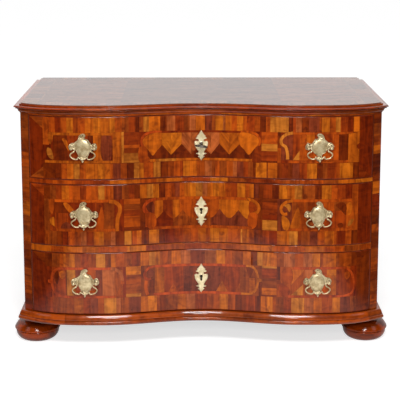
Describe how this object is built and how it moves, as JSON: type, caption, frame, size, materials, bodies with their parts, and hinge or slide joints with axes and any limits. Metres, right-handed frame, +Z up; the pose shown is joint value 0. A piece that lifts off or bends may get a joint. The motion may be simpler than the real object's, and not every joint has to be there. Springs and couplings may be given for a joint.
{
  "type": "serpentine commode with three drawers",
  "caption": "Serpentine-fronted chest of long drawers on bun feet, with moulded top and base, pierced brass handles that swing, locks with sliding bolts, and a turning key.",
  "frame": {"origin": "centre of the footprint, on the floor under the feet", "axes": "+Z up, drawers open towards -Y, +X to the right seen from the front"},
  "size_m": [1.288, 0.6977, 0.8317],
  "materials": {
    "walnut_veneer": "polished walnut and cherry veneer parquetry on softwood",
    "plum_veneer": "polished cross-banded veneer",
    "moulding_walnut": "polished moulded walnut",
    "turned_walnut": "dark stained and polished turned wood",
    "pine": "bare planed softwood",
    "brass": "cast and chased, polished, slightly worn",
    "iron": "dark filed iron"
  },
  "bodies": {
    "carcass": {"top_panel": "walnut_veneer", "top_edge_moulding": "moulding_walnut", "cornice_moulding": "moulding_walnut", "base_moulding": "moulding_walnut", "bottom_board": "pine", "back_panel": "pine", "side_left": "walnut_veneer", "side_right": "walnut_veneer", "stile_left": "plum_veneer", "stile_right": "plum_veneer", "kicker_left": "pine", "kicker_right": "pine", "runner_1_left": "pine", "runner_1_right": "pine", "runner_2_left": "pine", "runner_2_right": "pine", "top_rail": "plum_veneer", "rail_1": "plum_veneer", "rail_2": "plum_veneer", "foot_front_left": "turned_walnut", "foot_front_right": "turned_walnut", "foot_back_left": "turned_walnut", "foot_back_right": "turned_walnut"},
    "drawer_1": {"drawer_1_front": "walnut_veneer", "drawer_1_side_left": "pine", "drawer_1_side_right": "pine", "drawer_1_back": "pine", "drawer_1_bottom": "pine", "escutcheon_1": "brass", "lock_case_1": "iron", "handle_plate_1_left": "brass", "handle_plate_1_right": "brass"},
    "drawer_2": {"drawer_2_front": "walnut_veneer", "drawer_2_side_left": "pine", "drawer_2_side_right": "pine", "drawer_2_back": "pine", "drawer_2_bottom": "pine", "escutcheon_2": "brass", "lock_case_2": "iron", "handle_plate_2_left": "brass", "handle_plate_2_right": "brass"},
    "drawer_3": {"drawer_3_front": "walnut_veneer", "drawer_3_side_left": "pine", "drawer_3_side_right": "pine", "drawer_3_back": "pine", "drawer_3_bottom": "pine", "escutcheon_3": "brass", "lock_case_3": "iron", "handle_plate_3_left": "brass", "handle_plate_3_right": "brass"},
    "bail_1_left": {"bail_1_left": "brass"},
    "bail_1_right": {"bail_1_right": "brass"},
    "bail_2_left": {"bail_2_left": "brass"},
    "bail_2_right": {"bail_2_right": "brass"},
    "bail_3_left": {"bail_3_left": "brass"},
    "bail_3_right": {"bail_3_right": "brass"},
    "bolt_1": {"lock_bolt_1": "iron"},
    "bolt_2": {"lock_bolt_2": "iron"},
    "bolt_3": {"lock_bolt_3": "iron"},
    "key": {"key": "iron"}
  },
  "joints": [
    {"name": "drawer_1_slide", "type": "slide", "parent": "carcass", "child": "drawer_1", "axis": [0, -1, 0], "range_m": [0, 0.4]},
    {"name": "drawer_2_slide", "type": "slide", "parent": "carcass", "child": "drawer_2", "axis": [0, -1, 0], "range_m": [0, 0.4]},
    {"name": "drawer_3_slide", "type": "slide", "parent": "carcass", "child": "drawer_3", "axis": [0, -1, 0], "range_m": [0, 0.4]},
    {"name": "bail_1_left_swing", "type": "hinge", "parent": "drawer_1", "child": "bail_1_left", "pos_m": [-0.38843, -0.34089, 0.6919], "axis": [-0.9995, 0.0308, 0], "range_deg": [-8, 180]},
    {"name": "bail_1_right_swing", "type": "hinge", "parent": "drawer_1", "child": "bail_1_right", "pos_m": [0.38843, -0.34089, 0.6919], "axis": [-0.9995, -0.0308, 0], "range_deg": [-8, 180]},
    {"name": "bail_2_left_swing", "type": "hinge", "parent": "drawer_2", "child": "bail_2_left", "pos_m": [-0.38843, -0.34089, 0.46345], "axis": [-0.9995, 0.0308, 0], "range_deg": [-8, 180]},
    {"name": "bail_2_right_swing", "type": "hinge", "parent": "drawer_2", "child": "bail_2_right", "pos_m": [0.38843, -0.34089, 0.46345], "axis": [-0.9995, -0.0308, 0], "range_deg": [-8, 180]},
    {"name": "bail_3_left_swing", "type": "hinge", "parent": "drawer_3", "child": "bail_3_left", "pos_m": [-0.38843, -0.34089, 0.23345], "axis": [-0.9995, 0.0308, 0], "range_deg": [-8, 180]},
    {"name": "bail_3_right_swing", "type": "hinge", "parent": "drawer_3", "child": "bail_3_right", "pos_m": [0.38843, -0.34089, 0.23345], "axis": [-0.9995, -0.0308, 0], "range_deg": [-8, 180]},
    {"name": "bolt_1_slide", "type": "slide", "parent": "drawer_1", "child": "bolt_1", "axis": [0, 0, 1], "range_m": [0, 0.009]},
    {"name": "bolt_2_slide", "type": "slide", "parent": "drawer_2", "child": "bolt_2", "axis": [0, 0, 1], "range_m": [0, 0.009]},
    {"name": "bolt_3_slide", "type": "slide", "parent": "drawer_3", "child": "bolt_3", "axis": [0, 0, 1], "range_m": [0, 0.009]},
    {"name": "key_turn", "type": "hinge", "parent": "drawer_1", "child": "key", "pos_m": [0, -0.27, 0.6979], "axis": [0, -1, 0], "range_deg": [0, 180]}
  ],
  "couplings": [
    {"joint": "bolt_1_slide", "follows": "key_turn", "m_per_rad": 0.002864}
  ]
}
